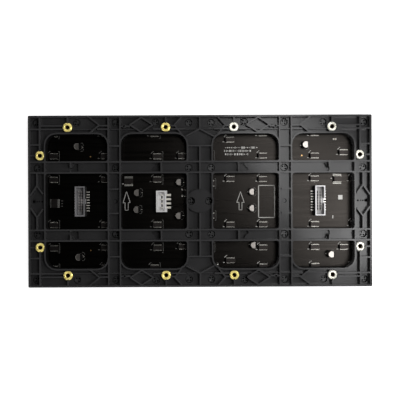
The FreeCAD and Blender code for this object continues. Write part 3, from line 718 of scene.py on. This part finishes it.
# Starts and ends of the low ribs in each quarter
LOW_RIBS = ((0.0, 13.0), (43.6, 74.6), (74.9, 85.0), (98.5, 118.6))
RIB_HALF, RIB_LOW, RIB_TOP, RIB_BEVEL = 0.5, WEB_TOP - 0.1, WEB_TOP + 3.0, 0.1


def frame_dots():
    """Small blind dots and two shallow round sinks that the mould leaves in the frame's web, drawn
    as flat black discs of painted shade, the sinks' discs half covered by a pale floor that leaves
    a crescent of painted shadow.
    """
    dots, floors = Shape(), Shape()
    places = [(side * x, 0.0, radius) for side in (1, -1) for x, radius in AXIS_DOTS]
    places += OTHER_DOTS
    places += [(x, 0.0, SINK_RADIUS) for x in SINK_X]
    for x, y, radius in places:
        profile = [(WEB_TOP + 0.005, radius), (WEB_TOP + 0.02, radius - 0.05)]
        dots.spin(x, y, profile, DOT_SIDES)
    for x in SINK_FLOOR_X:
        profile = [(WEB_TOP + 0.01, SINK_FLOOR_RADIUS), (WEB_TOP + 0.04, 1.6)]
        floors.spin(x, 0.0, profile, DOT_SIDES)
    dots.piece("mould_holes_painted_shade", [PAINTED_SHADOW], "frame_plastic")
    floors.piece("sink_floors", [FRAME_PLASTIC], "frame_plastic")


def low_ribs():
    """Low ribs that carry the margin's long line past the diamonds and across the panels."""
    ribs = Shape()
    for x0, x1 in LOW_RIBS:
        for side_x in (1, -1):
            left, right = sorted((side_x * x0, side_x * x1))
            for y in (MARGIN_Y, -MARGIN_Y):
                ribs.box(left, y - RIB_HALF, RIB_LOW, right, y + RIB_HALF, RIB_TOP, 0, RIB_BEVEL)
    ribs.piece("low_ribs", [FRAME_PLASTIC], "frame_plastic")


# Small parts of the board

GILT_SPOTS = ((97.0, 43.0), (-104.2, 42.5), (-104.2, -46.6))
GILT_RADIUS, GILT_SIDES = 0.65, 20

# Middles of the small chips, and of their pads and ends from there
SMALL_CHIPS = ((-15.6, 10.9), (-15.6, 4.6), (15.2, -60.5))
SMALL_PAD_X, SMALL_END_X = 1.35, 0.85
SMALL_LOW, SMALL_PAD_TOP = BOARD_TOP + 0.05, BOARD_TOP + 0.12


def board_pads():
    """Plated spots and the small soldered parts that show between the chips."""
    gilt, tinned, parts = Shape(), Shape(), Shape()
    for x, y in GILT_SPOTS:
        gilt.spin(x, y, [(PRINT_LOW, GILT_RADIUS), (PRINT_TOP, 0.6)], GILT_SIDES)
    for x, y in SMALL_CHIPS:
        for side in (-1, 1):
            pad, end = x + side * SMALL_PAD_X, x + side * SMALL_END_X
            tinned.box(pad - 0.6, y - 0.75, PAD_LOW, pad + 0.6, y + 0.75, SMALL_PAD_TOP, 0, 0.05)
            parts.box(end - 0.22, y - 0.62, SMALL_LOW, end + 0.22, y + 0.62,
                      BOARD_TOP + 0.62, 1, 0.06)
        parts.box(x - 0.64, y - 0.6, SMALL_LOW, x + 0.64, y + 0.6, BOARD_TOP + 0.6, 0, 0.04)
    gilt.piece("plated_spots", [GOLD_PAD], "pin_metal")
    tinned.piece("small_pads", [SOLDER], "pin_metal")
    parts.piece("small_chips", [EPOXY, TIN], "ceramic_body")


def small_part():
    """The two-ended part: a ceramic block with a pale cap at each end."""
    lo, hi = (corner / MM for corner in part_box("small_part"))
    part = Shape()
    cap = 0.75
    part.box(lo.x + cap, lo.y + 0.05, lo.z + 0.04, hi.x - cap, hi.y - 0.05, hi.z - 0.05, 0, 0.05)
    for x in (lo.x, hi.x - cap):
        part.box(x, lo.y, lo.z + 0.02, x + cap, hi.y, hi.z, 1, 0.12)
    part.piece("end_capped_part", [CERAMIC, LABEL], "ceramic_body", replaces=["small_part"])


# Capacitors

CAN_RADIUS, CAN_SIDES = 3.15, 36
LID_RADIUS = CAN_RADIUS - 0.34
GROOVE_RADIUS = CAN_RADIUS - 0.24
FOOT_LOW, FOOT_TOP = BOARD_TOP + 0.1, BOARD_TOP + 1.1
CAN_METAL, CAN_BLACK, CAN_TIN = range(3)

# How far from the axis the printed segment starts, on most cans and on those far right
CHORD, LIT_CHORD, LIT_CAN_X = 1.25, 1.9, 90.0
VENT_REACH, VENT_WIDE, VENT_HIGH = 1.5, 0.14, 0.03


def can_foot(cans, x, y, half):
    """The cut-cornered foot and the metal tab at each of its ends."""
    cut = half - 1.3
    outline = [(-half, -half), (cut, -half), (half, -cut), (half, cut), (cut, half), (-half, half)]
    rings = [[(x + px * grow, y + py * grow, z) for px, py in outline]
             for z, grow in ((FOOT_LOW, 1.0), (FOOT_TOP - 0.12, 1.0), (FOOT_TOP, 0.96))]
    cans.loft(rings, CAN_BLACK)
    for side in (-1, 1):
        x0, x1 = sorted((x + side * (half - 0.3), x + side * (half + 0.75)))
        cans.box(x0, y - 0.35, BOARD_TOP + 0.03, x1, y + 0.35, BOARD_TOP + 0.22, CAN_TIN)


def can_wall(cans, x, y, top, chord):
    """The grooved wall, black above the groove where it lies past the chord."""
    profile = [(FOOT_TOP - 0.05, CAN_RADIUS - 0.08), (FOOT_TOP + 0.45, CAN_RADIUS),
               (FOOT_TOP + 0.7, GROOVE_RADIUS), (FOOT_TOP + 0.95, GROOVE_RADIUS),
               (FOOT_TOP + 1.2, CAN_RADIUS), (top - 0.34, CAN_RADIUS),
               (top - 0.1, CAN_RADIUS - 0.1), (top, LID_RADIUS)]
    first = len(cans.faces)
    cans.spin(x, y, profile, CAN_SIDES, CAN_METAL, False, False)
    for i in range(first, len(cans.faces)):
        xs, _, zs = zip(*[cans.points[k] for k in cans.faces[i]])
        if min(xs) > x + chord - 0.3 and min(zs) > FOOT_TOP + 1.0:
            cans.marks[i] = CAN_BLACK


def can_lid(cans, x, y, top, chord):
    """The lid, with its printed segment past the chord and three faint lines of the vent."""
    rim = circle(x, y, top, LID_RADIUS, CAN_SIDES)
    span = math.sqrt(LID_RADIUS ** 2 - chord ** 2)
    ends = [(x + chord, y + span, top), (x + chord, y - span, top)]
    bright = [p for p in rim if p[0] <= x + chord] + ends
    dark = [p for p in rim if p[0] > x + chord] + ends
    for points, about, mark in ((bright, x - 0.5, CAN_METAL), (dark, x + chord + 0.4, CAN_BLACK)):
        points.sort(key=lambda p: math.atan2(p[1] - y, p[0] - about))
        cans.add(points, [tuple(range(len(points)))], mark)
    for degrees in (90, 210, 330):
        angle = math.radians(degrees)
        end_x, end_y = x + VENT_REACH * math.cos(angle), y + VENT_REACH * math.sin(angle)
        cans.bar(x, y, end_x, end_y, VENT_WIDE, top, top + VENT_HIGH, False)


def capacitors():
    """Upright electrolytics: a cut-cornered foot, a grooved can and a printed black segment."""
    cans = Shape()
    nodes = nodes_named("capacitor")
    for node in nodes:
        lo, hi = solids(node)[0]
        x, y = middle(lo, hi)
        chord = LIT_CHORD if x > LIT_CAN_X else CHORD
        can_foot(cans, x, y, (hi.x - lo.x) / 2)
        can_wall(cans, x, y, hi.z, chord)
        can_lid(cans, x, y, hi.z, chord)
    cans.piece("capacitors", [CAN, SLEEVE, TIN], "can_metal", replaces=nodes)


# Screws and inserts

HEAD_RADIUS, HEAD_HIGH, HEAD_SIDES = 3.4, 1.4, 20
ARM, ARM_HALF, RECESS_DEEP, RECESS_TURN = 2.05, 0.30, 0.12, 14
# Where the black discs of painted shade sit in a screw's recess, and their size
PIT_PLACE, PIT_RADIUS, PIT_SIDES = 1.7, 0.80, 10
SHANK_RADIUS, SHANK_SIDES = 0.9, 10

FLANGE_RADIUS, FLANGE_HIGH, BODY_RADIUS = 4.25, 1.0, 2.85
BORE, THREAD_DEEP, THREAD_PITCH, THREAD_TURNS = 1.65, 0.16, 0.5, 7
INSERT_SIDES = 40
# Marks of the inserts' materials: plain brass, brass of painted glare, the bore's painted shade and
# the disc of painted shadow
PLAIN_FLANGE, PAINTED_GLARE_FLANGE, PAINTED_SHADE_BORE, BORE_SHADOW_DISC = range(4)


def upward(points, triangle):
    """The triangle turned so that it faces up."""
    a, b, c = (Vector(points[i]) for i in triangle)
    return tuple(triangle) if (b - a).cross(c - a).z > 0 else tuple(reversed(triangle))


def cross_outline():
    """The twelve corners of a cross recess, anticlockwise."""
    quarter = [(ARM, -ARM_HALF), (ARM, ARM_HALF), (ARM_HALF, ARM_HALF)]
    corners = []
    for _ in range(4):
        corners += quarter
        quarter = [(-y, x) for x, y in quarter]
    return corners


def screws():
    """Black pan-head screws with a shallow cross recess, at the bottom of the wells.

    Each has a turn of its own, and a black disc of painted shade at three of the recess's four
    ends.
    """
    heads = Shape()
    draw = random.Random(11)
    for lo, hi in solids("case_screws"):
        x, y = middle(lo, hi)
        top, base = hi.z, hi.z - HEAD_HIGH
        rim_radius = HEAD_RADIUS - 0.7
        heads.spin(x, y, [(base, HEAD_RADIUS - 0.05), (base + 0.4, HEAD_RADIUS),
                          (base + 0.9, HEAD_RADIUS - 0.14), (top - 0.16, HEAD_RADIUS - 0.4),
                          (top, rim_radius)], HEAD_SIDES, 0, True, False)
        degrees = 45 + draw.uniform(-RECESS_TURN, RECESS_TURN)
        turn = Matrix.Rotation(math.radians(degrees), 2)
        cross = [turn @ Vector(corner) for corner in cross_outline()]
        rim = [Vector(p) for p in circle(x, y, top, rim_radius, HEAD_SIDES)]
        upper = [Vector((x + px, y + py, top)) for px, py in cross]
        points = rim + upper[::-1]
        heads.add(points, [upward(points, t) for t in tessellate_polygon([rim, upper[::-1]])])
        lower = [(x + px * 0.8, y + py * 0.8, top - RECESS_DEEP) for px, py in cross]
        n = len(cross)
        heads.add(upper + lower, [(k, k + n, (k + 1) % n + n, (k + 1) % n) for k in range(n)]
                  + [tuple(range(n, 2 * n))])
        filled = draw.randrange(4)
        for k in range(4):
            if k != filled:
                angle = k * math.pi / 2
                px, py = turn @ Vector((PIT_PLACE * math.cos(angle), PIT_PLACE * math.sin(angle)))
                heads.spin(x + px, y + py, [(top - 0.3, PIT_RADIUS), (top + 0.02, PIT_RADIUS)],
                           PIT_SIDES, 1)
        heads.spin(x, y, [(lo.z, SHANK_RADIUS), (base + 0.02, SHANK_RADIUS)], SHANK_SIDES,
                   0, True, False)
    heads.piece("case_screw_heads", [BLACK_SCREW, PAINTED_SHADOW], "screw_black", replaces=["case_screws"])


def inserts():
    """Turned brass inserts: a coned flange, a countersunk bore with its thread, painted near black
    inside as shade, and a black disc low in the bore as painted shadow.

    Those nearest the studio's lights get a paler brass as painted glare.
    """
    shape = Shape()
    nodes = ["inserts_end", "inserts_middle", "inserts_side"]
    for node in nodes:
        for lo, hi in solids(node):
            x, y = middle(lo, hi)
            top, low, seat = hi.z, lo.z, hi.z - FLANGE_HIGH
            outside = [(low, 2.5), (low + 0.3, BODY_RADIUS), (seat, BODY_RADIUS), (seat, 4.1),
                       (seat + 0.1, FLANGE_RADIUS), (top - 0.78, FLANGE_RADIUS), (top, 3.15)]
            inside = [(top, 2.95), (top - 0.6, 2.1), (top - 0.9, BORE)]
            for k in range(THREAD_TURNS):
                z = top - 1.2 - k * THREAD_PITCH
                inside += [(z, BORE - THREAD_DEEP), (z - THREAD_PITCH / 2, BORE)]
            inside.append((low, BORE))
            # Painted glare on the inserts right of BRIGHT_X and in the upper right quarter
            flange = PAINTED_GLARE_FLANGE if x > BRIGHT_X or (x > 0 and y > 0) else PLAIN_FLANGE
            bore_shadow_disc = [(low + 0.6, BORE + 0.02), (low + 0.7, BORE + 0.02)]
            shape.spin(x, y, outside + inside[:2], INSERT_SIDES, flange, False, False)
            shape.spin(x, y, inside[1:] + outside[:1], INSERT_SIDES, PAINTED_SHADE_BORE, False, False)
            shape.spin(x, y, bore_shadow_disc, INSERT_SIDES, BORE_SHADOW_DISC)
    shape.piece("brass_inserts", [BRASS, BRASS_PAINTED_GLARE, BRASS_PAINTED_SHADE, PAINTED_SHADOW], "insert_brass",
                smooth=True, replaces=nodes)


# Headers

# Half width of a pin, height of its point, X that divides tails to the left from those to the
# right, and the mark of the point's material, 1 for painted shade. The power header has none to the
# left.
PIN_POINTS = (("data_pins_left", 0.32, 0.35, -HEADER_X, 1),
              ("data_pins_right", 0.32, 0.35, HEADER_X, 0),
              ("power_pins", 0.57, 0.5, -LENGTH, 0))


def header_details():
    """The pins' points and the solder at the ends of their tails."""
    tips, fillets = Shape(), Shape()
    for node, half, tall, dividing_x, mark in PIN_POINTS:
        for lo, hi in solids(node):
            x, y = middle(lo, hi)
            side = 1 if x > dividing_x else -1
            pin_x, out = (lo.x + half, hi.x) if side > 0 else (hi.x - half, lo.x)
            tips.loft([square(pin_x, y, half, hi.z), square(pin_x, y, half * 0.4, hi.z + tall)],
                      mark)
            wide = (hi.y - lo.y) / 2
            x0, x1 = sorted((out - side * 1.9, out + side * 0.55))
            fillets.loft([rectangle(x0, y - wide - 0.12, x1, y + wide + 0.12, PAD_LOW),
                          rectangle(x0 + 0.25, y - wide + 0.05, x1 - 0.4, y + wide - 0.05,
                                    BOARD_TOP + 0.3)])
    tips.piece("pin_tips", [PLATED_PIN, PIN_PAINTED_SHADE], "pin_metal")
    fillets.piece("tail_solder", [SOLDER], "pin_metal")


lamps()
mask_bars()
chips()
silkscreen()
frame_dots()
low_ribs()
board_pads()
small_part()
capacitors()
screws()
inserts()
header_details()


# Floor, light and camera

GROUND_HALF, GROUND_LEVEL = 3.0, -0.0004
GROUND_BASE, GROUND_GLOW, GROUND_ROUGH = 0.86, 0.80, 0.9

# How bright the room is by the upward part of a direction: white walls, a dim ceiling
ROOM = ((0.0, 1.0), (0.40, 1.0), (0.46, 0.95), (0.66, 0.03), (1.0, 0.003))

CAMERA_PLACE, CAMERA_TURN = (-0.00004, 0.00090, 0.498), -0.25
FOCAL_PIXELS, IMAGE_PIXELS, SENSOR = 519.3, 400, 36.0


def maths(tree, operation, first, second=None, value=None):
    """The result of an operation on two sources, or on a source and a value."""
    node = tree.nodes.new("ShaderNodeMath")
    node.operation = operation
    tree.links.new(first, node.inputs[0])
    if value is None:
        tree.links.new(second, node.inputs[1])
    else:
        node.inputs[1].default_value = value
    return node.outputs[0]


def stage_floor():
    """A plain white ground that keeps the object's shadow."""
    mesh = bpy.data.meshes.new("ground")
    mesh.from_pydata(rectangle(-GROUND_HALF, -GROUND_HALF, GROUND_HALF, GROUND_HALF, GROUND_LEVEL),
                     [], [(0, 1, 2, 3)])
    material, tree, shader = new_material("ground_white")
    shader.inputs["Base Color"].default_value = (GROUND_BASE, GROUND_BASE, GROUND_BASE, 1)
    shader.inputs["Roughness"].default_value = GROUND_ROUGH
    shader.inputs["Specular IOR Level"].default_value = 0.0
    glow = tree.nodes.new("ShaderNodeEmission")
    rays = tree.nodes.new("ShaderNodeLightPath").outputs
    seen = maths(tree, "MAXIMUM", rays["Is Camera Ray"], rays["Is Glossy Ray"])
    seen = maths(tree, "MAXIMUM", seen, rays["Is Transmission Ray"])
    level = maths(tree, "MULTIPLY", seen, value=GROUND_GLOW)
    tree.links.new(level, glow.inputs["Strength"])
    both = tree.nodes.new("ShaderNodeAddShader")
    tree.links.new(shader.outputs[0], both.inputs[0])
    tree.links.new(glow.outputs[0], both.inputs[1])
    tree.links.new(both.outputs[0], tree.nodes["Material Output"].inputs["Surface"])
    mesh.materials.append(material)
    ground = bpy.data.objects.new("ground", mesh)
    bpy.context.scene.collection.objects.link(ground)


def studio_world():
    """White walls low down, which the camera and the metal see alike, and a dim ceiling."""
    world = bpy.data.worlds.new("studio")
    bpy.context.scene.world = world
    world.use_nodes = True
    tree = world.node_tree
    background = tree.nodes["Background"]
    coordinates = tree.nodes.new("ShaderNodeTexCoord")
    split = tree.nodes.new("ShaderNodeSeparateXYZ")
    tree.links.new(coordinates.outputs["Generated"], split.inputs[0])
    shade = ramp(tree, split.outputs["Z"], [(z, (grey, grey, grey)) for z, grey in ROOM])
    tree.links.new(shade, background.inputs["Color"])
    background.inputs["Strength"].default_value = 1.0


def area_light(name, place, target, size, radiance, long_axis):
    """A soft rectangular lamp of a given brightness. All places are in metres."""
    light = bpy.data.lights.new(name, "AREA")
    light.shape = "RECTANGLE"
    light.size, light.size_y = size
    light.energy = radiance * math.pi * size[0] * size[1]
    lamp = bpy.data.objects.new(name, light)
    back = (Vector(place) - Vector(target)).normalized()
    along = Vector(long_axis)
    along = (along - back * along.dot(back)).normalized()
    lamp.matrix_world = Matrix((along, back.cross(along), back)).transposed().to_4x4()
    lamp.location = Vector(place)
    bpy.context.scene.collection.objects.link(lamp)


def camera():
    """Straight above the back, at the height that the photograph's depth calls for."""
    data = bpy.data.cameras.new("camera")
    data.sensor_width = SENSOR
    data.lens = SENSOR * FOCAL_PIXELS / IMAGE_PIXELS
    data.clip_start, data.clip_end = 0.01, 20.0
    cam = bpy.data.objects.new("camera", data)
    cam.location = CAMERA_PLACE
    cam.rotation_euler = (0, 0, math.radians(CAMERA_TURN))
    bpy.context.scene.collection.objects.link(cam)
    bpy.context.scene.camera = cam


stage_floor()
studio_world()
area_light("overhead_strip", (0.229, 0.038, 0.60), (0.10, 0.0, 0.0), (0.43, 0.16), 6.6,
           (0.557, -0.830, 0))
area_light("side_lamp", (0.243, -0.008, 0.20), (0.06, 0.01, 0.0), (0.16, 0.12), 4.2, (0, 1, 0))
camera()
bpy.context.scene.view_settings.view_transform = "Standard"
